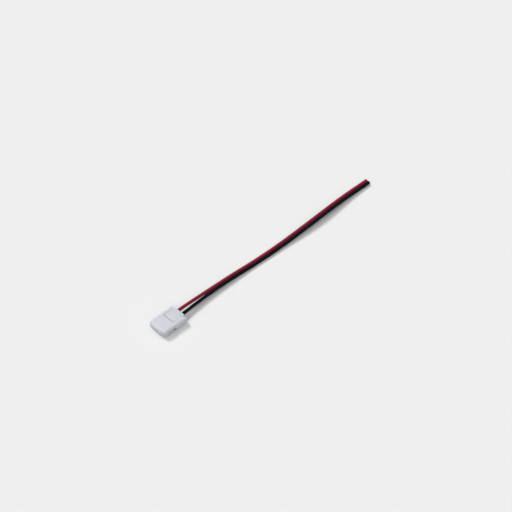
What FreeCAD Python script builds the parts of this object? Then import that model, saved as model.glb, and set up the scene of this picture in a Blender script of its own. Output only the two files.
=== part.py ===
"""Snap-down connector for a two-conductor light strip 10 mm wide, with a 150 mm two-core lead.

Frame: millimetres. The origin is the centre of the closed housing's footprint on the table.
+X runs from the strip mouth to the lead, +Y is the red core's side, +Z is up.
The lid is drawn closed. It turns about the two stub pins near the lead end.
"""
import FreeCAD
import Part
import math
import os

# The strip that the mouth takes
strip_width = 10.0
strip_thickness = 0.3
strip_side_play = 0.15
slot_height = 0.8

# Housing, outside
housing_length = 18.5
housing_height = 4.6
skirt_thickness = 0.95
lid_ground_gap = 0.2
top_edge_radius = 1.4
corner_radius = 1.9
front_bow_radius = 34.0

# Tray: floor, side walls and latch nubs
floor_thickness = 0.9
tray_wall = 0.7
tray_wall_top = 2.5
tray_front_setback = 0.15
tray_corner_radius = 0.5
mouth_chamfer = 0.3
nub_x = -6.2
nub_length = 2.3
nub_reach = 0.27
nub_foot_z = 1.1
nub_crest_z = 1.5
nub_top_z = 2.2

# Running gaps between tray and lid
skirt_play = 0.1
arm_play = 0.06
lip_play = 0.1
heel_play = 0.15
latch_clearance = 0.02
latch_side_play = 0.4

# Lid: plate, lip, skirts and arms
plate_thickness = 1.15
front_wall = 1.0
plate_rear_x = 0.3
groove_width = 0.3
arm_thickness = 2.89
arm_corner_radius = 1.3
scoop_front_x = -4.2
scoop_rear_x = 1.8
scoop_depth = 0.35
notch_width = 1.4
notch_x = -0.4
notch_top_z = 2.1
pocket_depth = 0.45
pocket_top_z = 2.9
press_bar_x = -3.45
press_bar_radius = 0.45
press_bar_half_width = 4.9
press_gap = 0.05
rib_thickness = 0.8
rib_depth = 0.9
rib_y = 1.85

# Hinge
pin_diameter = 1.6
pin_play = 0.05
pin_recess = 0.2
pin_chamfer = 0.2

# Rear block, with a tunnel for each terminal
terminal_pitch = 3.7
block_side_wall = 1.05
block_edge_radius = 0.3
block_side_chamfer = 0.05
tunnel_width = 2.1
tunnel_height = 2.1
tunnel_front_x = 2.8
slot_clear_height = 0.8
slot_seat_gap = 0.02
collar_length = 1.6
collar_play = 0.05
collar_chamfer = 0.25

# Round witness marks of the moulding tool under the tray
mark_diameter = 1.4
mark_depth = 0.1
front_mark = (-6.5, 2.8)
rear_mark = (5.0, 2.6)

# Stamped contacts
contact_thickness = 0.25
contact_width = 1.8
contact_strip_gap = 0.02
finger_bend_setback = 0.25
finger_dip_x = -3.5
finger_tip_x = -4.65
finger_tip_rise = 0.62
finger_heel_radius = 1.0
finger_dip_radius = 0.6
finger_tip_half = 0.62
finger_tip_radius = 0.25
finger_shoulder_x = -3.3
window_front_x = -2.6
window_rear_x = -0.9
window_width = 0.5
barb_x = 1.5
barb_reach = 0.13
barb_length = 0.9
neck_x = 3.0
cradle_front_x = 3.2
cradle_rear_x = 5.2
cradle_wall_rise = 0.15
cradle_play = 0.03

# Solder over each conductor in its cradle
solder_front_x = 3.35
solder_rear_x = 5.1
solder_taper = 0.3

# Lead: two insulated cores, apart at the housing and bonded side by side after that
wire_axis_z = 2.7
insulation_diameter = 1.95
conductor_diameter = 0.92
conductor_play = 0.03
insulation_start_x = 5.6
conductor_start_x = 3.3

# The lead's route: x, y and z of the middle between the cores, and each core's distance from it
lead_route = [
    (insulation_start_x, 0.00, wire_axis_z, terminal_pitch / 2),
    (11.2, 0.00, wire_axis_z, terminal_pitch / 2),
    (19.2, 0.24, 2.60, 1.55),
    (29.2, 0.38, 2.30, 1.20),
    (40.2, 0.36, 2.02, 1.00),
    (53.2, 0.04, 1.58, 1.00),
    (66.2, -0.54, 0.98, 1.00),
    (79.2, -1.02, 0.98, 1.00),
    (91.2, -1.28, 1.32, 1.00),
    (103.2, -1.40, 2.02, 1.00),
    (114.2, -1.36, 2.60, 1.00),
    (123.7, -1.04, 2.68, 1.00),
    (133.2, -0.46, 2.24, 1.00),
    (142.7, -0.04, 1.72, 1.00),
    (151.2, 0.10, 1.26, 1.00),
    (159.0, 0.08, 0.98, 1.00),
]

# Sizes that follow from the values above
front_x = -housing_length / 2
rear_x = housing_length / 2
channel_half = strip_width / 2 + strip_side_play
tray_half = channel_half + tray_wall
skirt_inner = tray_half + skirt_play
housing_half = skirt_inner + skirt_thickness
hinge_radius = (housing_height - lid_ground_gap) / 2
hinge_z = lid_ground_gap + hinge_radius
hinge_x = rear_x - hinge_radius
block_half = terminal_pitch / 2 + tunnel_width / 2 + block_side_wall
arm_inner = block_half + arm_play
arm_outer = arm_inner + arm_thickness
ceiling_z = housing_height - plate_thickness
plate_rear_radius = math.hypot(hinge_x - plate_rear_x, hinge_radius)
block_front_radius = plate_rear_radius - groove_width
block_front_x = hinge_x - block_front_radius
arm_heel_x = hinge_x - math.sqrt((block_front_radius - heel_play) ** 2 - hinge_radius ** 2)
cradle_inner = conductor_diameter / 2 + cradle_play
cradle_outer = cradle_inner + contact_thickness
strap_z = wire_axis_z - cradle_outer + contact_thickness / 2
finger_bend_x = block_front_x - finger_bend_setback
dip_z = floor_thickness + strip_thickness + contact_strip_gap + contact_thickness / 2
press_bar_z = dip_z + contact_thickness / 2 + press_gap


def xz(a, b):
    """A point of a side view."""
    return FreeCAD.Vector(a, 0, b)


def xy(a, b):
    """A point of a plan view."""
    return FreeCAD.Vector(a, b, 0)


def yz(a, b):
    """A point of an end view."""
    return FreeCAD.Vector(0, a, b)


def corner_edges(corners, view, closed):
    """Lines and arcs through (a, b, radius) corners, each corner rounded to its radius."""
    count = len(corners)
    ins, outs, mids = [], [], []
    for i, (a, b, radius) in enumerate(corners):
        here = view(a, b)
        if radius == 0 or (not closed and i in (0, count - 1)):
            ins.append(here)
            outs.append(here)
            mids.append(None)
            continue
        back = view(*corners[i - 1][:2]) - here
        ahead = view(*corners[(i + 1) % count][:2]) - here
        back.normalize()
        ahead.normalize()
        half_turn = (math.pi - back.getAngle(ahead)) / 2
        cut = radius * math.tan(half_turn)
        inward = back + ahead
        inward.normalize()
        ins.append(here + back * cut)
        outs.append(here + ahead * cut)
        mids.append(here + inward * (radius / math.cos(half_turn) - radius))
    edges = []
    for i in range(count):
        if mids[i] is not None:
            edges.append(Part.Arc(ins[i], mids[i], outs[i]).toShape())
        if i + 1 < count or closed:
            start, end = outs[i], ins[(i + 1) % count]
            if start.distanceToPoint(end) > 1e-6:
                edges.append(Part.LineSegment(start, end).toShape())
    return edges


def plate_of(corners, view, start, depth):
    """A prism on a rounded outline, from the start vector and along the depth vector."""
    face = Part.Face(Part.Wire(corner_edges(corners, view, True)))
    face.translate(start)
    return face.extrude(depth)


def mirrored(corners):
    """A half outline, from one end to the other, closed by its mirror image across y = 0."""
    return corners + [(a, -b, radius) for a, b, radius in reversed(corners)]


def box(x0, x1, y0, y1, z0, z1):
    """A block between two corners."""
    return Part.makeBox(x1 - x0, y1 - y0, z1 - z0, FreeCAD.Vector(x0, y0, z0))


def across(radius, x, z, y0, y1):
    """A cylinder along Y."""
    return Part.makeCylinder(radius, y1 - y0, FreeCAD.Vector(x, y0, z), FreeCAD.Vector(0, 1, 0))


def along(radius, x0, x1, y, z):
    """A cylinder along X."""
    return Part.makeCylinder(radius, x1 - x0, FreeCAD.Vector(x0, y, z), FreeCAD.Vector(1, 0, 0))


def both_sides(shape):
    """A shape and its mirror image across the middle plane."""
    return [shape, shape.mirror(FreeCAD.Vector(0, 0, 0), FreeCAD.Vector(0, 1, 0))]


def bowed_front(setback):
    """The room behind the housing's bowed front: a tall round bar whose skin is the front face."""
    middle = xz(front_x + setback + front_bow_radius, 0)
    return Part.makeCylinder(front_bow_radius, housing_height, middle)


def tray_floor():
    """The floor under the channel, as wide as the walls in front and as the block behind."""
    front = front_x + tray_front_setback
    half_plan = [
        (front, tray_half, tray_corner_radius),
        (block_front_x, tray_half, 0),
        (block_front_x, block_half, 0),
        (rear_x - block_edge_radius, block_half, 0),
    ]
    floor = plate_of(mirrored(half_plan), xy, xz(0, 0), xz(0, floor_thickness))
    lead_in = [
        (front - mouth_chamfer, floor_thickness - 2 * mouth_chamfer, 0),
        (front + 2 * mouth_chamfer, floor_thickness + mouth_chamfer, 0),
        (front - mouth_chamfer, floor_thickness + mouth_chamfer, 0),
    ]
    width = 2 * channel_half
    return floor.cut(plate_of(lead_in, xz, xy(0, -channel_half), xy(0, width)))


def tray_wall_side():
    """One side wall of the channel, flared at the mouth, with its latch nub."""
    front = front_x + tray_front_setback
    plan = [
        (front, channel_half + mouth_chamfer, 0),
        (front, tray_half - tray_corner_radius / 2, 0),
        (front + tray_corner_radius / 2, tray_half, 0),
        (block_front_x, tray_half, 0),
        (block_front_x, channel_half, 0),
        (front + 2 * mouth_chamfer, channel_half, 0),
    ]
    wall = plate_of(plan, xy, xz(0, 0), xz(0, tray_wall_top))
    nub = [
        (channel_half, nub_foot_z, 0),
        (tray_half, nub_foot_z, 0),
        (tray_half + nub_reach, nub_crest_z, 0),
        (tray_half, nub_top_z, 0),
        (channel_half, nub_top_z, 0),
    ]
    return wall.fuse(plate_of(nub, yz, xz(nub_x - nub_length / 2, 0), xz(nub_length, 0)))


def block_body():
    """The rear block: its front face turns about the hinge so that the lid's plate clears it."""
    top_front_x = hinge_x - math.sqrt(block_front_radius ** 2 - hinge_radius ** 2)
    middle = math.radians(180) - math.asin(hinge_radius / block_front_radius) / 2
    bulge = xz(hinge_x + block_front_radius * math.cos(middle),
               hinge_z + block_front_radius * math.sin(middle))
    rear_mid = block_edge_radius * (1 - math.sqrt(0.5))
    edges = [
        Part.LineSegment(xz(block_front_x, 0), xz(block_front_x, hinge_z)),
        Part.Arc(xz(block_front_x, hinge_z), bulge, xz(top_front_x, housing_height)),
        Part.LineSegment(xz(top_front_x, housing_height),
                         xz(rear_x - block_edge_radius, housing_height)),
        Part.Arc(xz(rear_x - block_edge_radius, housing_height),
                 xz(rear_x - rear_mid, housing_height - rear_mid),
                 xz(rear_x, housing_height - block_edge_radius)),
        Part.LineSegment(xz(rear_x, housing_height - block_edge_radius), xz(rear_x, 0)),
        Part.LineSegment(xz(rear_x, 0), xz(block_front_x, 0)),
    ]
    side = Part.Face(Part.Wire([edge.toShape() for edge in edges]))
    side.translate(xy(0, -block_half))
    body = side.extrude(xy(0, 2 * block_half))
    half_plan = [
        (block_front_x, block_half, 0),
        (rear_x, block_half, block_edge_radius),
    ]
    body = body.common(plate_of(mirrored(half_plan), xy, xz(0, 0), xz(0, housing_height)))
    shoulder = housing_height - block_side_chamfer
    end = [
        (block_half - block_side_chamfer, housing_height, 0),
        (block_half, shoulder, 0),
        (block_half, 0, 0),
        (-block_half, 0, 0),
        (-block_half, shoulder, 0),
        (-block_half + block_side_chamfer, housing_height, 0),
    ]
    return body.common(plate_of(end, yz, xz(front_x, 0), xz(housing_length, 0)))


def terminal_tunnel(y):
    """The stepped tunnel of one terminal: front slot, wide middle and round collar at the rear."""
    half = tunnel_width / 2
    floor_z = strap_z - contact_thickness / 2 - slot_seat_gap
    middle = box(tunnel_front_x, rear_x - collar_length, y - half, y + half,
                 wire_axis_z - tunnel_height / 2, wire_axis_z + tunnel_height / 2)
    slot = box(front_x, tunnel_front_x, y - half, y + half, floor_z, floor_z + slot_clear_height)
    bore = insulation_diameter / 2 + collar_play
    collar = along(bore, rear_x - collar_length, rear_x, y, wire_axis_z)
    mouth = Part.makeCone(bore, bore + collar_chamfer, collar_chamfer,
                          FreeCAD.Vector(rear_x - collar_chamfer, y, wire_axis_z),
                          FreeCAD.Vector(1, 0, 0))
    return middle.fuse([slot, collar, mouth])


def hinge_pin():
    """One stub pin on the block's side, chamfered so that the arm snaps over it."""
    end = arm_outer - pin_recess
    shank = across(pin_diameter / 2, hinge_x, hinge_z, block_half, end - pin_chamfer)
    nose = Part.makeCone(pin_diameter / 2, pin_diameter / 2 - pin_chamfer, pin_chamfer,
                         FreeCAD.Vector(hinge_x, end - pin_chamfer, hinge_z),
                         FreeCAD.Vector(0, 1, 0))
    return shank.fuse(nose)


def base():
    """The tray moulding: floor, channel walls, latch nubs, rear block and hinge pins."""
    slots = [terminal_tunnel(side * terminal_pitch / 2) for side in (1, -1)]
    block = block_body().cut(slots)
    pieces = [block] + both_sides(tray_wall_side()) + both_sides(hinge_pin())
    body = tray_floor().fuse(pieces).removeSplitter()
    marks = []
    for x, y in (front_mark, rear_mark):
        marks += both_sides(Part.makeCylinder(mark_diameter / 2, mark_depth, xy(x, y)))
    return body.cut(marks).common(bowed_front(tray_front_setback))


def lid_outside():
    """The lid's outer form: bowed front, rounded corners and top edges, round ends on the arms."""
    half_plan = [
        (front_x, housing_half, 0),
        (rear_x, arm_outer, arm_corner_radius),
    ]
    body = box(front_x, rear_x, -housing_half, housing_half, 0, housing_height)
    body = body.common(bowed_front(0))
    posts = [edge for edge in body.Edges
             if edge.BoundBox.ZLength > housing_height / 2 and edge.BoundBox.XMax < 0]
    body = body.makeFillet(corner_radius, posts)
    rims = [edge for edge in body.Edges
            if edge.BoundBox.ZMin > housing_height / 2 and edge.BoundBox.XMin < rear_x / 2]
    body = body.makeFillet(top_edge_radius, rims).cut(thumb_scoops())
    body = body.common(plate_of(mirrored(half_plan), xy, xz(0, 0), xz(0, housing_height)))
    side = [
        Part.LineSegment(xz(front_x, lid_ground_gap), xz(hinge_x, lid_ground_gap)),
        Part.Arc(xz(hinge_x, lid_ground_gap), xz(rear_x, hinge_z), xz(hinge_x, housing_height)),
        Part.LineSegment(xz(hinge_x, housing_height), xz(front_x, housing_height)),
        Part.LineSegment(xz(front_x, housing_height), xz(front_x, lid_ground_gap)),
    ]
    face = Part.Face(Part.Wire([edge.toShape() for edge in side]))
    face.translate(xy(0, -housing_half))
    return body.common(face.extrude(xy(0, 2 * housing_half)))


def thumb_scoops():
    """The round bars that leave a shallow upright hollow in each side."""
    half_chord = (scoop_rear_x - scoop_front_x) / 2
    radius = (half_chord ** 2 + scoop_depth ** 2) / (2 * scoop_depth)
    middle = xy((scoop_front_x + scoop_rear_x) / 2, housing_half - scoop_depth + radius)
    return both_sides(Part.makeCylinder(radius, housing_height, middle))


def latch_relief():
    """The room for one latch nub in a skirt: a way in from below and a pocket over it."""
    half = nub_length / 2 + latch_side_play
    way_in = box(nub_x - half, nub_x + half, 0, tray_half + nub_reach + latch_clearance,
                 0, nub_crest_z)
    pocket = box(nub_x - half, nub_x + half, 0, skirt_inner + pocket_depth,
                 nub_crest_z, pocket_top_z)
    return way_in.fuse(pocket)


def edge_notch():
    """The arch in the lower edge that parts each skirt from its arm."""
    radius = notch_width / 2
    spring_z = notch_top_z - radius
    arch = across(radius, notch_x, spring_z, -housing_half, housing_half)
    legs = box(notch_x - radius, notch_x + radius, -housing_half, housing_half, 0, spring_z)
    return arch.fuse(legs)


def lid_hollow():
    """What the lid leaves free: the channel, the block's place, the latches, the pin holes."""
    wall_gap_z = tray_wall_top + lip_play
    channel = box(front_x + front_wall, arm_heel_x, -skirt_inner, skirt_inner, 0, ceiling_z)
    throat = box(front_x, front_x + front_wall, -skirt_inner, skirt_inner, 0, wall_gap_z)
    block_room = across(plate_rear_radius, hinge_x, hinge_z, -arm_inner, arm_inner)
    holes = across(pin_diameter / 2 + pin_play, hinge_x, hinge_z, -housing_half, housing_half)
    return [channel, throat, block_room, holes, edge_notch()] + both_sides(latch_relief())


def strip_lip():
    """The lip that closes the mouth down to the strip slot, between the channel walls."""
    half = channel_half - lip_play
    foot_z = floor_thickness + slot_height
    top_z = ceiling_z
    side = [
        (front_x, foot_z + mouth_chamfer, 0),
        (front_x, top_z, 0),
        (front_x + front_wall, top_z, 0),
        (front_x + front_wall, foot_z, 0),
        (front_x + mouth_chamfer, foot_z, 0),
    ]
    return plate_of(side, xz, xy(0, -half), xy(0, 2 * half))


def press_bar():
    """The round-nosed bar under the plate that holds both fingers on the strip's pads."""
    nose_z = press_bar_z + press_bar_radius
    nose = across(press_bar_radius, press_bar_x, nose_z, -press_bar_half_width, press_bar_half_width)
    web = box(press_bar_x - press_bar_radius, press_bar_x + press_bar_radius,
              -press_bar_half_width, press_bar_half_width, nose_z, ceiling_z)
    return nose.fuse(web)


def stiffening_ribs():
    """Ribs under the plate, from the front wall to the press bar."""
    return [
        box(front_x + front_wall, press_bar_x, y - rib_thickness / 2, y + rib_thickness / 2,
            ceiling_z - rib_depth, ceiling_z)
        for y in (rib_y, 0, -rib_y)
    ]


def lid():
    """The lid moulding: plate, skirts and the two arms that turn on the pins."""
    shell = lid_outside().cut(lid_hollow())
    body = shell.fuse([strip_lip(), press_bar()] + stiffening_ribs()).removeSplitter()
    return body.common(bowed_front(0))


def strap_outline(path):
    """The side view of a bent strap: (x, z, radius) points of its middle line, made thick."""
    half = contact_thickness / 2
    upper, lower = [], []
    for i, (x, z, radius) in enumerate(path):
        runs = []
        if i > 0:
            runs.append((x - path[i - 1][0], z - path[i - 1][1]))
        if i + 1 < len(path):
            runs.append((path[i + 1][0] - x, path[i + 1][1] - z))
        angles = [math.atan2(dz, dx) for dx, dz in runs]
        turn = (angles[-1] - angles[0] + math.pi) % (2 * math.pi) - math.pi
        normal = angles[0] + turn / 2 + math.pi / 2
        out = half / math.cos(turn / 2)
        dx, dz = out * math.cos(normal), out * math.sin(normal)
        rise = half if turn < 0 else -half
        upper.append((x + dx, z + dz, radius + rise if radius else 0))
        lower.append((x - dx, z - dz, radius - rise if radius else 0))
    return upper + lower[::-1]


def contact(y):
    """One stamped contact: split spring finger, barbed strap and cradle for the conductor."""
    path = [
        (cradle_front_x + contact_thickness, strap_z, 0),
        (finger_bend_x, strap_z, finger_heel_radius),
        (finger_dip_x, dip_z, finger_dip_radius),
        (finger_tip_x - contact_thickness, dip_z + finger_tip_rise, 0),
    ]
    wide = contact_width / 2
    strap = plate_of(strap_outline(path), xz, xy(0, -contact_width), xy(0, 2 * contact_width))
    half_plan = [
        (finger_tip_x, finger_tip_half, finger_tip_radius),
        (finger_shoulder_x, wide, finger_tip_radius),
        (barb_x - barb_length, wide, 0),
        (barb_x, wide + barb_reach, 0),
        (barb_x, wide, 0),
        (neck_x, wide, 0),
        (cradle_front_x, cradle_outer, 0),
        (cradle_rear_x, cradle_outer, 0),
    ]
    strap = strap.common(plate_of(mirrored(half_plan), xy, xz(0, 0), xz(0, housing_height)))
    window = [
        (window_front_x, window_width / 2, window_width / 2),
        (window_rear_x, window_width / 2, window_width / 2),
    ]
    strap = strap.cut(plate_of(mirrored(window), xy, xz(0, 0), xz(0, housing_height)))
    piece = strap.fuse(cradle()).removeSplitter()
    piece.translate(xy(0, y))
    return piece


def cradle():
    """The open barrel under the conductor: half a tube with short upright walls."""
    length = cradle_rear_x - cradle_front_x
    top_z = wire_axis_z + cradle_wall_rise
    outer = along(cradle_outer, cradle_front_x, cradle_rear_x, 0, wire_axis_z)
    outer = outer.common(box(cradle_front_x, cradle_rear_x, -cradle_outer, cradle_outer, 0,
                             wire_axis_z))
    walls = box(cradle_front_x, cradle_rear_x, -cradle_outer, cradle_outer, wire_axis_z, top_z)
    inner = along(cradle_inner, cradle_front_x - length, cradle_rear_x + length, 0, wire_axis_z)
    room = box(cradle_front_x - length, cradle_rear_x + length, -cradle_inner, cradle_inner,
               wire_axis_z, housing_height)
    return outer.fuse(walls).cut([inner, room]).removeSplitter()


def solder(y):
    """The solder over one conductor: a round back with tapered ends, from wall to wall."""
    back_z = wire_axis_z + cradle_outer
    half_section = [
        xz(solder_front_x, wire_axis_z),
        xz(solder_front_x, wire_axis_z + conductor_diameter / 2),
        xz(solder_front_x + solder_taper, back_z),
        xz(solder_rear_x - solder_taper, back_z),
        xz(solder_rear_x, wire_axis_z + conductor_diameter / 2),
        xz(solder_rear_x, wire_axis_z),
    ]
    section = Part.Face(Part.makePolygon(half_section + half_section[:1]))
    dome = section.revolve(xz(0, wire_axis_z), xz(1, 0), 360)
    top_z = wire_axis_z + cradle_wall_rise
    dome = dome.common(box(solder_front_x, solder_rear_x, -cradle_outer, cradle_outer, top_z,
                           housing_height))
    dome = dome.cut(along(conductor_diameter / 2, solder_front_x, solder_rear_x, 0, wire_axis_z))
    dome.translate(xy(0, y))
    return dome


def core_points(side, start_x):
    """The route of one core: side is 1 for the red core and -1 for the black one."""
    points = [FreeCAD.Vector(x, y + side * spread, z) for x, y, z, spread in lead_route]
    points[0].x = start_x
    return points


def core_path(points):
    """Straight runs joined by tangent arcs, and the radius of each arc."""
    edges, radii, last = [], [], points[0]
    for before, here, after in zip(points, points[1:], points[2:]):
        back, ahead = before - here, after - here
        cut = 0.45 * min(back.Length, ahead.Length)
        back.normalize()
        ahead.normalize()
        half_turn = (math.pi - back.getAngle(ahead)) / 2
        radius = cut / math.tan(half_turn)
        inward = back + ahead
        inward.normalize()
        start, end = here + back * cut, here + ahead * cut
        middle = here + inward * (radius / math.cos(half_turn) - radius)
        edges.append(Part.LineSegment(last, start).toShape())
        edges.append(Part.Arc(start, middle, end).toShape())
        radii.append(radius)
        last = end
    edges.append(Part.LineSegment(last, points[-1]).toShape())
    return Part.Wire(edges), radii


def round_pipe(path, points, diameter):
    """A solid round bar along a path."""
    section = Part.makeCircle(diameter / 2, points[0], points[1] - points[0])
    return path.makePipe(Part.Face(Part.Wire([section])))


def conductor(side):
    """The stranded conductor of one core, stripped at its cradle."""
    points = core_points(side, conductor_start_x)
    path, radii = core_path(points)
    return round_pipe(path, points, conductor_diameter), path.Length, radii


def insulation(side):
    """The insulation of one core, cut flush at the free end."""
    points = core_points(side, insulation_start_x)
    path, radii = core_path(points)
    bore = round_pipe(path, points, conductor_diameter + 2 * conductor_play)
    return round_pipe(path, points, insulation_diameter).cut(bore), path.Length, radii


def main():
    """Builds every piece and writes it to parts."""
    os.makedirs("parts", exist_ok=True)
    nodes = {"tray": base(), "lid": lid()}
    sections = {
        "insulation": math.pi / 4 * (insulation_diameter ** 2
                                     - (conductor_diameter + 2 * conductor_play) ** 2),
        "conductor": math.pi / 4 * conductor_diameter ** 2,
    }
    for colour, side in (("red", 1), ("black", -1)):
        nodes[f"{colour}_contact"] = contact(side * terminal_pitch / 2)
        nodes[f"{colour}_solder"] = solder(side * terminal_pitch / 2)
        for name, build in (("conductor", conductor), ("insulation", insulation)):
            shape, length, radii = build(side)
            nodes[f"{colour}_{name}"] = shape
            print(f"{colour} {name}: {length:.2f} mm long, volume {shape.Volume:.2f}, "
                  f"section by length {sections[name] * length:.2f}, "
                  f"least radius {min(radii):.1f}, radii {[round(r) for r in radii]}")
    for name, shape in nodes.items():
        shape.exportStep(f"parts/{name}.step")
        bounds = shape.BoundBox
        print(f"{name}: {len(shape.Solids)} solid, valid {shape.isValid()}, "
              f"volume {shape.Volume:.3f}, x {bounds.XMin:.2f} to {bounds.XMax:.2f}, "
              f"y {bounds.YMin:.2f} to {bounds.YMax:.2f}, z {bounds.ZMin:.2f} to {bounds.ZMax:.2f}")


main()
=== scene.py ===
"""Looks of a snap-down light strip connector with its red and black lead.

The two mouldings are drawn over their own solids with the soft edges of moulded nylon. Each core of
the lead is drawn along the lead's route as an insulation tube on a bundle of copper strands, with
the thin bond that joins the two cores. Every surface gets its finish here. Lengths are in metres.
"""

import logging
import math
import random
from dataclasses import dataclass, field
from enum import Enum

import bmesh
import bpy
import numpy as np
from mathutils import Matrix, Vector


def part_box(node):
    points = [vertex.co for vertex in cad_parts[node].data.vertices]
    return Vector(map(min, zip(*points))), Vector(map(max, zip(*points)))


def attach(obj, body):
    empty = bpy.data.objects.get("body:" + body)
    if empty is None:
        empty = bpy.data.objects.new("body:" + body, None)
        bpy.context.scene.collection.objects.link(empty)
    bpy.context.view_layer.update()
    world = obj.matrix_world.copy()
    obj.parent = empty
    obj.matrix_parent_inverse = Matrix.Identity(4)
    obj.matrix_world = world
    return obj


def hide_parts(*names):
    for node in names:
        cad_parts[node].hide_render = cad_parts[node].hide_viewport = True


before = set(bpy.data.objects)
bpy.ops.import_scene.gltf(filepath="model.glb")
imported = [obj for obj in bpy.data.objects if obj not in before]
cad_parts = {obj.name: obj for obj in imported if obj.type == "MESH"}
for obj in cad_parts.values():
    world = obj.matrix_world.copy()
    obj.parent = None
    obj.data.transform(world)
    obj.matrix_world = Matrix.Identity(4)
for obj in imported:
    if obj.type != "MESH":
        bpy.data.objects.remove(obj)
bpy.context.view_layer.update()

log = logging.getLogger("connector")

MM = 0.001
FULL_TURN = 2 * math.pi
UNROLLED = "unrolled"

# The values between which most of a noise lies
NOISE_LOW, NOISE_HIGH = 0.3, 0.7

# The mix node's sockets for a factor and two colours, and for their mixture
MIX_FACTOR, MIX_FIRST, MIX_SECOND, MIX_RESULT = 0, 6, 7, 2

# What a solid's mesh holds of its flat shading
SHADING_LAYERS = ("custom_normal", "sharp_edge", "sharp_face")

Rgb = tuple[float, float, float]
Stretch = tuple[float, float, float]
Points = np.ndarray


class Core(Enum):
    """The two cores of the lead, with the side of the middle line that each lies on."""

    RED = 1
    BLACK = -1

    @property
    def label(self) -> str:
        """The core's colour in lower case, as the solids' names have it."""
        return self.name.lower()


class Part(Enum):
    """The solids of one core, by the end of their names."""

    INSULATION = "insulation"
    CONDUCTOR = "conductor"
    CONTACT = "contact"
    SOLDER = "solder"

    def node(self, core: Core) -> str:
        """The solid's name for one core."""
        return f"{core.label}_{self.value}"


def eased(share: Points) -> Points:
    """Rises smoothly as a share goes from 0 to 1, and stays level beyond both."""
    share = np.clip(share, 0, 1)
    return share * share * (3 - 2 * share)


def ring_angles(sides: int) -> Points:
    """The angles of the points of a ring, in equal steps round one turn."""
    return np.arange(sides) * FULL_TURN / sides


def ring_spokes(first: Points, second: Points, sides: int) -> Points:
    """Finds the directions from each point of a line to the ring round it.

    Args:
        first: the ring's first direction at each point.
        second: the direction a quarter turn on.
        sides: how many directions a ring has.

    Returns:
        The directions, by point and by side.
    """
    turn = ring_angles(sides)[:, None]
    return first[:, None, :] * np.cos(turn) + second[:, None, :] * np.sin(turn)


class Graph:
    """The node tree of one material, with a principled shader at its end."""

    def __init__(self, name: str) -> None:
        """Starts a material.

        Args:
            name: the material's name.
        """
        self.material = bpy.data.materials.new(name)
        self.material.use_nodes = True
        self.tree = self.material.node_tree
        self.shader = self.tree.nodes["Principled BSDF"]

    def add(self, kind: str, inputs: dict | None = None, **settings: object) -> bpy.types.Node:
        """Adds a node.

        Args:
            kind: the node's type.
            inputs: values or source sockets by the name of the input.
            settings: the node's own properties.

        Returns:
            The new node.
        """
        node = self.tree.nodes.new(kind)
        for key, value in settings.items():
            setattr(node, key, value)
        for key, value in (inputs or {}).items():
            self.feed(node.inputs[key], value)
        return node

    def feed(self, socket: bpy.types.NodeSocket, value: object) -> None:
        """Links a source socket to an input, or sets the input's own value.

        Args:
            socket: the input.
            value: the source socket or the value.
        """
        if isinstance(value, bpy.types.NodeSocket):
            self.tree.links.new(value, socket)
        else:
            socket.default_value = value

    def place(self) -> bpy.types.NodeSocket:
        """The point on the piece, in metres."""
        return self.add("ShaderNodeTexCoord").outputs["Object"]

    def unrolled(self, stretch: Stretch) -> bpy.types.NodeSocket:
        """The point on a core's unrolled surface, stretched along and around it."""
        flat = self.add("ShaderNodeUVMap", uv_map=UNROLLED).outputs["UV"]
        return self.add("ShaderNodeMapping", {"Vector": flat, "Scale": stretch}).outputs["Vector"]

    def noise(self, vector: bpy.types.NodeSocket, scale: float,
              detail: float = 3.0) -> bpy.types.NodeSocket:
        """Noise at a scale, about 0.5 in the middle.

        Args:
            vector: where the noise is read.
            scale: features in a metre, or in a unit of the vector.
            detail: octaves.

        Returns:
            The noise's value.
        """
        node = self.add("ShaderNodeTexNoise", {"Vector": vector, "Scale": scale, "Detail": detail})
        return node.outputs["Fac"]

    def between(self, factor: bpy.types.NodeSocket, low: float,
                high: float) -> bpy.types.NodeSocket:
        """Spreads the middle of a noise over a range of values.

        Args:
            factor: the noise's value.
            low: the result where the noise is low.
            high: the result where it is high.

        Returns:
            The spread value.
        """
        node = self.add("ShaderNodeMapRange", {
            "Value": factor,
            "From Min": NOISE_LOW,
            "From Max": NOISE_HIGH,
            "To Min": low,
            "To Max": high,
        })
        return node.outputs["Result"]

    def blend(self, factor: bpy.types.NodeSocket, first: Rgb,
              second: Rgb) -> bpy.types.NodeSocket:
        """Mixes two colours.

        Args:
            factor: the second colour's share.
            first: the colour at a factor of 0.
            second: the colour at a factor of 1.

        Returns:
            The mixed colour.
        """
        node = self.add("ShaderNodeMix", data_type="RGBA")
        self.feed(node.inputs[MIX_FACTOR], factor)
        self.feed(node.inputs[MIX_FIRST], (*first, 1.0))
        self.feed(node.inputs[MIX_SECOND], (*second, 1.0))
        return node.outputs[MIX_RESULT]

    def relief(self, height: bpy.types.NodeSocket, depth: float,
               below: bpy.types.NodeSocket | None = None) -> bpy.types.NodeSocket:
        """Turns a height into a bump.

        Args:
            height: the height, 0 to 1.
            depth: the height's full depth in metres.
            below: the normal of a coarser relief under this one.

        Returns:
            The bumped normal.
        """
        node = self.add("ShaderNodeBump", {"Height": height, "Distance": depth})
        if below is not None:
            self.feed(node.inputs["Normal"], below)
        return node.outputs["Normal"]

    def finish(self, **sockets: object) -> bpy.types.Material:
        """Feeds the shader.

        Args:
            sockets: values or source sockets by the name of the shader's input, in lower case
                and with underscores.

        Returns:
            The finished material.
        """
        inputs = {socket.name.lower().replace(" ", "_"): socket for socket in self.shader.inputs}
        for key, value in sockets.items():
            self.feed(inputs[key], value)
        return self.material


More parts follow.
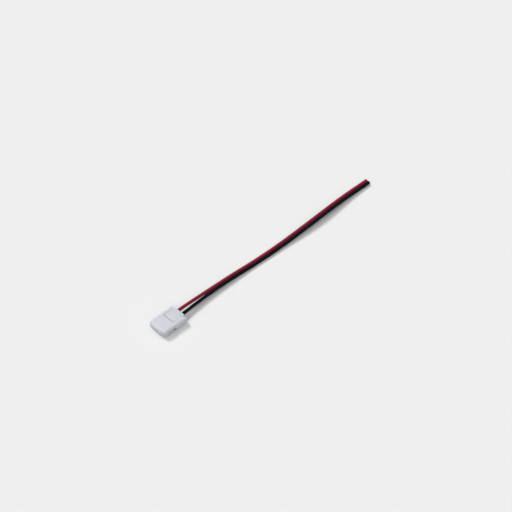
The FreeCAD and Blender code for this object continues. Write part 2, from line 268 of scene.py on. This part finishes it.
@dataclass(frozen=True)
class MouldedNylon:
    """Satin white nylon with the spark texture of its mould and a faint cloudiness."""

    name: str
    body: Rgb = (0.640, 0.650, 0.700)
    cloud: Rgb = (0.615, 0.622, 0.675)
    smoothest: float = 0.48
    roughest: float = 0.60
    gloss: float = 0.16
    clouds_per_metre: float = 240.0
    grains_per_metre: float = 9500.0
    grain_depth: float = 0.0035 * MM
    waves_per_metre: float = 330.0
    wave_depth: float = 0.012 * MM
    translucency: float = 1.0
    scatter: float = 2.4 * MM
    scatter_by_colour: Rgb = (1.0, 0.9, 0.85)

    def material(self) -> bpy.types.Material:
        """Builds the nylon's material.

        Returns:
            The material.
        """
        graph = Graph(self.name)
        place = graph.place()
        clouds = graph.noise(place, self.clouds_per_metre)
        grains = graph.noise(place, self.grains_per_metre, detail=2.0)
        waves = graph.noise(place, self.waves_per_metre, detail=1.0)
        coarse = graph.relief(waves, self.wave_depth)
        return graph.finish(
            base_color=graph.blend(graph.between(clouds, 0.0, 1.0), self.body, self.cloud),
            roughness=graph.between(grains, self.smoothest, self.roughest),
            normal=graph.relief(grains, self.grain_depth, coarse),
            subsurface_weight=self.translucency,
            subsurface_radius=self.scatter_by_colour,
            subsurface_scale=self.scatter,
            specular_ior_level=self.gloss,
        )


@dataclass(frozen=True)
class ExtrudedVinyl:
    """Satin vinyl insulation with fine draw lines along the wire and a little bloom."""

    name: str
    body: Rgb
    bloom: Rgb
    smoothest: float = 0.44
    roughest: float = 0.60
    gloss: float = 0.07
    line_stretch: Stretch = (60.0, 26.0, 1.0)
    line_depth: float = 0.006 * MM
    mottle_stretch: Stretch = (420.0, 3.0, 1.0)
    mottle_depth: float = 0.02 * MM

    def material(self) -> bpy.types.Material:
        """Builds the vinyl's material.

        Returns:
            The material.
        """
        graph = Graph(self.name)
        lines = graph.noise(graph.unrolled(self.line_stretch), 1.0)
        mottle = graph.noise(graph.unrolled(self.mottle_stretch), 1.0, detail=4.0)
        coarse = graph.relief(mottle, self.mottle_depth)
        return graph.finish(
            base_color=graph.blend(graph.between(mottle, 0.0, 1.0), self.body, self.bloom),
            roughness=graph.between(lines, self.smoothest, self.roughest),
            normal=graph.relief(lines, self.line_depth, coarse),
            specular_ior_level=self.gloss,
        )


@dataclass(frozen=True)
class DrawnCopper:
    """Bright drawn copper strands, a little tarnished in patches."""

    name: str = "drawn_copper"
    bright: Rgb = (0.93, 0.53, 0.36)
    tarnish: Rgb = (0.55, 0.26, 0.15)
    most_tarnish: float = 0.8
    smoothest: float = 0.22
    roughest: float = 0.42
    patches_per_metre: float = 1800.0

    def material(self) -> bpy.types.Material:
        """Builds the copper's material.

        Returns:
            The material.
        """
        graph = Graph(self.name)
        patches = graph.noise(graph.place(), self.patches_per_metre)
        tarnished = graph.between(patches, 0.0, self.most_tarnish)
        return graph.finish(
            base_color=graph.blend(tarnished, self.bright, self.tarnish),
            roughness=graph.between(patches, self.smoothest, self.roughest),
            metallic=1.0,
        )


@dataclass(frozen=True)
class StampedBronze:
    """Spring bronze strip with the fine rolling lines of its sheet."""

    name: str = "stamped_bronze"
    bright: Rgb = (0.86, 0.68, 0.40)
    dull: Rgb = (0.66, 0.48, 0.26)
    smoothest: float = 0.20
    roughest: float = 0.36
    line_stretch: Stretch = (900.0, 26000.0, 900.0)
    line_depth: float = 0.0006 * MM
    patches_per_metre: float = 700.0

    def material(self) -> bpy.types.Material:
        """Builds the bronze's material.

        Returns:
            The material.
        """
        graph = Graph(self.name)
        place = graph.place()
        rolled = graph.add("ShaderNodeMapping", {"Vector": place, "Scale": self.line_stretch})
        lines = graph.noise(rolled.outputs["Vector"], 1.0, detail=2.0)
        patches = graph.noise(place, self.patches_per_metre)
        return graph.finish(
            base_color=graph.blend(graph.between(patches, 0.0, 1.0), self.bright, self.dull),
            roughness=graph.between(lines, self.smoothest, self.roughest),
            normal=graph.relief(lines, self.line_depth),
            metallic=1.0,
        )


@dataclass(frozen=True)
class FrozenSolder:
    """Bright solder with the slight frost and ripple of its cooling."""

    name: str = "frozen_solder"
    bright: Rgb = (0.80, 0.81, 0.83)
    frost: Rgb = (0.60, 0.61, 0.63)
    smoothest: float = 0.16
    roughest: float = 0.38
    ripples_per_metre: float = 2600.0
    ripple_depth: float = 0.02 * MM

    def material(self) -> bpy.types.Material:
        """Builds the solder's material.

        Returns:
            The material.
        """
        graph = Graph(self.name)
        ripples = graph.noise(graph.place(), self.ripples_per_metre)
        return graph.finish(
            base_color=graph.blend(graph.between(ripples, 0.0, 1.0), self.bright, self.frost),
            roughness=graph.between(ripples, self.smoothest, self.roughest),
            normal=graph.relief(ripples, self.ripple_depth),
            metallic=1.0,
        )


@dataclass(frozen=True)
class MattPaper:
    """The plain pale sheet that the connector lies on."""

    name: str = "pale_sheet"
    body: Rgb = (0.80, 0.80, 0.80)
    shade: Rgb = (0.795, 0.795, 0.795)
    roughness: float = 0.9
    gloss: float = 0.1
    clouds_per_metre: float = 6.0

    def material(self) -> bpy.types.Material:
        """Builds the sheet's material.

        Returns:
            The material.
        """
        graph = Graph(self.name)
        clouds = graph.noise(graph.place(), self.clouds_per_metre)
        return graph.finish(
            base_color=graph.blend(graph.between(clouds, 0.0, 1.0), self.body, self.shade),
            roughness=self.roughness,
            specular_ior_level=self.gloss,
        )


def piece_of(name: str, mesh: bpy.types.Mesh, finish: bpy.types.Material) -> bpy.types.Object:
    """Puts a mesh in the scene as a piece with one finish.

    Args:
        name: the piece's name.
        mesh: its mesh, in the frame's place.
        finish: its material.

    Returns:
        The new object.
    """
    mesh.materials.clear()
    mesh.materials.append(finish)
    piece = bpy.data.objects.new(name, mesh)
    bpy.context.scene.collection.objects.link(piece)
    return piece


@dataclass
class Skin:
    """A surface of one or more tubes, with each face corner's place on the unrolled surface."""

    vertices: list[Points] = field(default_factory=list)
    faces: list[tuple[int, ...]] = field(default_factory=list)
    corners: list[tuple[float, float]] = field(default_factory=list)
    vertex_count: int = 0

    def lay(self, rings: list[Points], along: list[float], looped: bool) -> None:
        """Adds a tube through rings of points, which all have the same count.

        Args:
            rings: the tube's rings in order, each turning the same way.
            along: each ring's distance along the tube.
            looped: whether the last ring joins the first; if not, both ends are capped.
        """
        sides = len(rings[0])
        last = len(rings) - 1
        starts = [self.vertex_count + ring * sides for ring in range(len(rings))]
        for ring in range(len(rings) if looped else last):
            following = (ring + 1) % len(rings)
            here, there = starts[ring], starts[following]
            for side in range(sides):
                beside = (side + 1) % sides
                around, further = side / sides, (side + 1) / sides
                self.faces.append((here + side, here + beside, there + beside, there + side))
                self.corners += [(along[ring], around), (along[ring], further)]
                self.corners += [(along[following], further), (along[following], around)]
        if not looped:
            for ring, turn in ((0, -1), (last, 1)):
                self.faces.append(tuple(starts[ring] + side for side in range(sides))[::turn])
                self.corners += [(along[ring], 0.0)] * sides
        self.vertices += rings
        self.vertex_count += sides * len(rings)

    def mesh(self, name: str) -> bpy.types.Mesh:
        """Makes the mesh, smooth, with its faces outward and its unrolled coordinates.

        Args:
            name: the mesh's name.

        Returns:
            The mesh.
        """
        mesh = bpy.data.meshes.new(name)
        mesh.from_pydata(np.concatenate(self.vertices).tolist(), [], self.faces)
        layer = mesh.uv_layers.new(name=UNROLLED)
        layer.data.foreach_set("uv", np.array(self.corners, np.float32).ravel())
        work = bmesh.new()
        work.from_mesh(mesh)
        bmesh.ops.recalc_face_normals(work, faces=work.faces)
        work.to_mesh(mesh)
        work.free()
        mesh.shade_smooth()
        return mesh


@dataclass
class Lead:
    """The two-core lead: its route, its sizes and the pieces of both cores.

    A row of the route has x, y and z of the lead's middle line in millimetres, and how far each
    core lies from that line.
    """

    insulation_radius: float = 0.975 * MM
    bore_radius: float = 0.49 * MM
    rim_radius: float = 0.05 * MM
    sides: int = 40
    steps: int = 18
    exit_x: float = 9.25 * MM
    insulation_start_x: float = 5.6 * MM
    length: float = 153.6 * MM
    bond_from: float = 28.2 * MM
    bond_to: float = 33.2 * MM
    bond_flat: float = math.radians(14)
    bond_foot: float = math.radians(36)
    tear_height: float = 0.035 * MM
    tear_width: float = math.radians(9)
    conductor_start_x: float = 3.3 * MM
    strand_radius: float = 0.092 * MM
    strand_rings: tuple[tuple[int, float], ...] = ((1, 0.0), (6, 0.184 * MM), (12, 0.36 * MM))
    strand_lay: float = 11.0 * MM
    strand_sides: int = 6
    strand_recess: float = 0.06 * MM
    strand_seed: int = 7
    route: tuple[tuple[float, float, float, float], ...] = (
        (5.6, 0.00, 2.70, 1.85),
        (11.2, 0.00, 2.70, 1.85),
        (19.2, 0.24, 2.60, 1.55),
        (29.2, 0.38, 2.30, 1.20),
        (40.2, 0.36, 2.02, 1.00),
        (53.2, 0.04, 1.58, 1.00),
        (66.2, -0.54, 0.98, 1.00),
        (79.2, -1.02, 0.98, 1.00),
        (91.2, -1.28, 1.32, 1.00),
        (103.2, -1.40, 2.02, 1.00),
        (114.2, -1.36, 2.60, 1.00),
        (123.7, -1.04, 2.68, 1.00),
        (133.2, -0.46, 2.24, 1.00),
        (142.7, -0.04, 1.72, 1.00),
        (151.2, 0.10, 1.26, 1.00),
        (159.0, 0.08, 0.98, 1.00),
    )

    def centreline(self, core: Core, start_x: float) -> Points:
        """Points down the middle of one core, read from the smooth curve on the route.

        Args:
            core: which core.
            start_x: where the piece starts.

        Returns:
            The points, one row each.
        """
        data = bpy.data.curves.new(f"{core.label}_route", "CURVE")
        data.dimensions = "3D"
        data.resolution_u = self.steps
        spline = data.splines.new("NURBS")
        spline.points.add(len(self.route) - 1)
        for point, (x, y, z, spread) in zip(spline.points, self.route):
            point.co = (x * MM, (y + core.value * spread) * MM, z * MM, 1.0)
        spline.points[0].co.x = start_x
        spline.order_u = 3
        spline.use_endpoint_u = True
        bare = bpy.data.objects.new(data.name, data)
        mesh = bpy.data.meshes.new_from_object(bare)
        line = np.array([vertex.co for vertex in mesh.vertices], float)
        bpy.data.meshes.remove(mesh)
        bpy.data.objects.remove(bare)
        bpy.data.curves.remove(data)
        return line

    @staticmethod
    def axes(line: Points) -> tuple[Points, Points, Points]:
        """The distance along a line, and two directions across it at each point.

        Args:
            line: the points of the line.

        Returns:
            The distances, the level directions towards +Y, and the upward directions.
        """
        along = np.concatenate([[0], np.cumsum(np.linalg.norm(np.diff(line, axis=0), axis=1))])
        ahead = np.gradient(line, axis=0)
        ahead /= np.linalg.norm(ahead, axis=1)[:, None]
        level = np.cross((0.0, 0.0, 1.0), ahead)
        level /= np.linalg.norm(level, axis=1)[:, None]
        return along, level, np.cross(ahead, level)

    def outside(self, line: Points, other: Points) -> Points:
        """The insulation's radius at each point of a line and each angle from its neighbour.

        Where the cores are joined, a web reaches half way to the neighbour. Where they are apart,
        the ridge of the torn web is left.

        Args:
            line: the core's centreline.
            other: the other core's centreline, point by point.

        Returns:
            One row of radii for each point of the line.
        """
        away = np.abs((ring_angles(self.sides) + math.pi) % FULL_TURN - math.pi)
        half_way = np.linalg.norm(line - other, axis=1)[:, None] / 2
        joined = eased((line[:, :1] - self.bond_from) / (self.bond_to - self.bond_from))
        foot = eased((self.bond_foot - away) / (self.bond_foot - self.bond_flat))
        web = half_way / np.cos(np.minimum(away, self.bond_foot)) - self.insulation_radius
        tear = self.tear_height * np.exp(-(away / self.tear_width) ** 2)
        return self.insulation_radius + joined * foot * web + (1 - joined) * tear

    def insulation(self, core: Core, finish: bpy.types.Material) -> bpy.types.Object:
        """Draws one core's insulation, hollow and with its rims.

        Args:
            core: which core.
            finish: its material.

        Returns:
            The insulation.
        """
        line = self.centreline(core, self.insulation_start_x)
        other = self.centreline(Core(-core.value), self.insulation_start_x)
        along, level, up = self.axes(line)
        middle = line[:, None, :]
        spokes = ring_spokes(-core.value * level, up, self.sides)
        radii = self.outside(line, other)[:, :, None]
        body = middle + spokes * radii
        rim = middle + spokes * (radii - self.rim_radius)
        bore = middle + spokes * self.bore_radius
        inset = self.rim_radius * np.cross(level, up)
        start = [rim[0], body[0] + inset[0]]
        end = [body[-1] - inset[-1], rim[-1]]
        rings = [*start, *body[1:-1], *end, *bore[::-1]]
        stations = [along[0], along[0], *along[1:-1], along[-1], along[-1], *along[::-1]]
        skin = Skin()
        skin.lay(rings, stations, looped=True)
        name = f"{core.label}_core"
        piece = piece_of(name, skin.mesh(name), finish)
        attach(piece, "housing")
        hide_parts(Part.INSULATION.node(core))
        Part.INSULATION.node(core)
        return piece

    def strands(self, core: Core, finish: bpy.types.Material) -> bpy.types.Object:
        """Draws one core's bundle of twisted strands, each cut a little unevenly.

        Args:
            core: which core.
            finish: its material.

        Returns:
            The bundle.
        """
        line = self.centreline(core, self.conductor_start_x)
        along, level, up = self.axes(line)
        ahead = np.cross(level, up)
        chance = random.Random(core.value + self.strand_seed)
        skin = Skin()
        for count, radius in self.strand_rings:
            for index in range(count):
                angle = (FULL_TURN * (index / count + along / self.strand_lay))[:, None]
                across = level * np.cos(angle) + up * np.sin(angle)
                beside = up * np.cos(angle) - level * np.sin(angle)
                middle = line + across * radius
                middle[-1] -= ahead[-1] * self.strand_recess * chance.random()
                spokes = ring_spokes(across, beside, self.strand_sides)
                rings = middle[:, None, :] + spokes * self.strand_radius
                skin.lay(list(rings), list(along), looped=False)
        name = f"{core.label}_strands"
        piece = piece_of(name, skin.mesh(name), finish)
        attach(piece, "housing")
        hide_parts(Part.CONDUCTOR.node(core))
        return piece

    def build(self, core: Core, vinyl: ExtrudedVinyl, copper: bpy.types.Material) -> None:
        """Args:
            core: which core.
            vinyl: its insulation's finish.
            copper: its strands' material.
        """
        strands = self.strands(core, copper)
        insulation = self.insulation(core, vinyl.material())
        self.centreline(core, self.insulation_start_x).tolist()
        for piece in (insulation, strands):
            log.info("%s: %d faces", piece.name, len(piece.data.polygons))


@dataclass
class Moulding:
    """A nylon moulding drawn over its solid, with the soft edges that a mould leaves."""

    node: str
    body: str
    edge_radius: float = 0.035 * MM
    edge_segments: int = 2
    edge_profile: float = 0.5
    sharp: float = math.radians(24)
    flat: float = math.radians(0.6)
    weld: float = 0.0005 * MM

    def mesh(self) -> bpy.types.Mesh:
        """Copies the solid's surface, softens its edges and keeps it in the solid's box.

        Returns:
            The softened mesh.
        """
        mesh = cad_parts[self.node].data.copy()
        mesh.name = f"{self.node}_moulding"
        for name in SHADING_LAYERS:
            layer = mesh.attributes.get(name)
            if layer is not None:
                mesh.attributes.remove(layer)
        work = bmesh.new()
        work.from_mesh(mesh)
        bmesh.ops.remove_doubles(work, verts=work.verts, dist=self.weld)
        bmesh.ops.dissolve_limit(work, angle_limit=self.flat, verts=work.verts, edges=work.edges)
        bmesh.ops.bevel(
            work,
            geom=[e for e in work.edges if e.is_manifold and e.calc_face_angle() > self.sharp],
            offset=self.edge_radius,
            offset_type="OFFSET",
            segments=self.edge_segments,
            profile=self.edge_profile,
            affect="EDGES",
            clamp_overlap=True,
        )
        bmesh.ops.recalc_face_normals(work, faces=work.faces)
        low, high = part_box(self.node)
        for vertex in work.verts:
            vertex.co = np.clip(vertex.co, low, high)
        work.to_mesh(mesh)
        work.free()
        mesh.shade_smooth()
        return mesh

    def build(self, finish: bpy.types.Material) -> None:
        """Draws the moulding.

        Args:
            finish: its material.
        """
        piece = piece_of(f"{self.node}_moulding", self.mesh(), finish)
        weighted = piece.modifiers.new("weighted", "WEIGHTED_NORMAL")
        weighted.keep_sharp = True
        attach(piece, self.body)
        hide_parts(self.node)
        log.info("%s: %d faces", piece.name, len(piece.data.polygons))


@dataclass
class Terminals:
    """The stamped contacts and the solder at their cradles, which keep their solids' shapes."""

    bronze: StampedBronze = StampedBronze()
    solder: FrozenSolder = FrozenSolder()

    def build(self) -> None:
        """Gives each contact and each solder joint its finish."""
        finishes = {Part.CONTACT: self.bronze.material(), Part.SOLDER: self.solder.material()}
        for core in Core:
            for part, finish in finishes.items():
                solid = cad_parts[part.node(core)]
                for place in solid.material_slots:
                    place.material = finish
                log.info("%s: finished", solid.name)


@dataclass(frozen=True)
class Beam:
    """Light from far off: where it comes from and its width, in degrees, and its share.

    The azimuth turns from +X towards +Y. The share is of all the light that falls on the sheet.
    """

    azimuth: float
    elevation: float
    width: float
    share: float


class Softbox(Enum):
    """The studio's lights, which with the sky's share give all of the sheet's light."""

    KEY = Beam(86.0, 43.5, 18.0, 0.42)
    LEFT = Beam(135.0, 52.0, 30.0, 0.12)
    REAR = Beam(25.0, 52.0, 30.0, 0.09)
    REAR_RIGHT = Beam(330.0, 45.0, 30.0, 0.06)
    FRONT = Beam(202.0, 46.0, 30.0, 0.13)
    FRONT_LOW = Beam(185.0, 26.0, 30.0, 0.06)
    SIDE = Beam(252.0, 36.0, 30.0, 0.09)
    SIDE_LOW = Beam(270.0, 20.0, 24.0, 0.01)


@dataclass
class Studio:
    """The pale sheet, the soft lights and the camera."""

    azimuth: float = -43.3
    elevation: float = 48.6
    picture_pixels: float = 512.0
    pixels_per_mm: float = 1.73
    lens: float = 1000.0
    sensor: float = 36.0
    aim: tuple[float, float, float] = (72.78 * MM, 3.24 * MM, 0.0)
    clip_shares: tuple[float, float] = (0.01, 10.0)
    sheet_half: float = 3.0
    sheet_light: float = 3.41
    sky_share: float = 0.02
    wall: Rgb = (0.855, 0.855, 0.855)

    def camera(self) -> None:
        """Sets the camera at the photograph's angle and scale."""
        view_width = self.picture_pixels / self.pixels_per_mm * MM
        distance = view_width * self.lens / self.sensor
        data = bpy.data.cameras.new("camera")
        data.lens = self.lens
        data.sensor_width = self.sensor
        data.clip_start, data.clip_end = (distance * share for share in self.clip_shares)
        turn, rise = math.radians(self.azimuth), math.radians(self.elevation)
        back = Vector((
            math.sin(turn) * math.cos(rise),
            -math.cos(turn) * math.cos(rise),
            math.sin(rise),
        ))
        camera = bpy.data.objects.new("camera", data)
        camera.location = Vector(self.aim) + back * distance
        camera.rotation_euler = (-back).to_track_quat("-Z", "Y").to_euler()
        bpy.context.scene.collection.objects.link(camera)
        bpy.context.scene.camera = camera

    def lamp(self, name: str, beam: Beam) -> None:
        """Adds one far softbox, as strong as its share of the sheet's light asks.

        Args:
            name: the lamp's name.
            beam: its light.
        """
        azimuth, elevation = math.radians(beam.azimuth), math.radians(beam.elevation)
        data = bpy.data.lights.new(name, "SUN")
        data.energy = self.sheet_light * beam.share / math.sin(elevation)
        data.angle = math.radians(beam.width)
        source = Vector((
            math.cos(azimuth) * math.cos(elevation),
            math.sin(azimuth) * math.cos(elevation),
            math.sin(elevation),
        ))
        light = bpy.data.objects.new(name, data)
        light.rotation_euler = (-source).to_track_quat("-Z", "Y").to_euler()
        bpy.context.scene.collection.objects.link(light)

    def sheet(self) -> None:
        """Lays the pale sheet under the connector."""
        half = self.sheet_half
        corners = [(-half, -half, 0), (half, -half, 0), (half, half, 0), (-half, half, 0)]
        mesh = bpy.data.meshes.new("sheet")
        mesh.from_pydata(corners, [], [(0, 1, 2, 3)])
        piece_of("sheet", mesh, MattPaper().material())

    def sky(self) -> None:
        """Fills the room with a little even light, and shows its walls as pale as the sheet."""
        world = bpy.data.worlds.new("sky")
        world.use_nodes = True
        tree = world.node_tree
        glow = tree.nodes["Background"]
        glow.inputs["Color"].default_value = (1.0, 1.0, 1.0, 1.0)
        glow.inputs["Strength"].default_value = self.sky_share * self.sheet_light / math.pi
        walls = tree.nodes.new("ShaderNodeBackground")
        walls.inputs["Color"].default_value = (*self.wall, 1.0)
        seen = tree.nodes.new("ShaderNodeLightPath")
        both = tree.nodes.new("ShaderNodeMixShader")
        tree.links.new(seen.outputs["Is Camera Ray"], both.inputs["Fac"])
        tree.links.new(glow.outputs["Background"], both.inputs[1])
        tree.links.new(walls.outputs["Background"], both.inputs[2])
        tree.links.new(both.outputs["Shader"], tree.nodes["World Output"].inputs["Surface"])
        bpy.context.scene.world = world

    def build(self) -> None:
        """Sets up the camera, the lights, the sky and the sheet."""
        self.camera()
        for box in Softbox:
            self.lamp(box.name.lower(), box.value)
        self.sky()
        self.sheet()
        bpy.context.scene.view_settings.view_transform = "Standard"
        log.info("studio: ready")


def main() -> None:
    """Builds the studio and the connector, and reports each piece."""
    logging.basicConfig(level=logging.INFO, format="%(message)s")
    Studio().build()
    lead = Lead()
    copper = DrawnCopper().material()
    vinyls = {
        Core.RED: ExtrudedVinyl(
            "red_vinyl",
            body=(0.285, 0.014, 0.040),
            bloom=(0.250, 0.018, 0.046),
        ),
        Core.BLACK: ExtrudedVinyl(
            "black_vinyl",
            body=(0.002, 0.004, 0.009),
            bloom=(0.004, 0.006, 0.012),
        ),
    }
    for core, vinyl in vinyls.items():
        lead.build(core, vinyl, copper)
    nylon = MouldedNylon("white_nylon").material()
    Moulding("tray", "housing").build(nylon)
    Moulding("lid", "lid").build(nylon)
    Terminals().build()


if __name__ == "__main__":
    main()
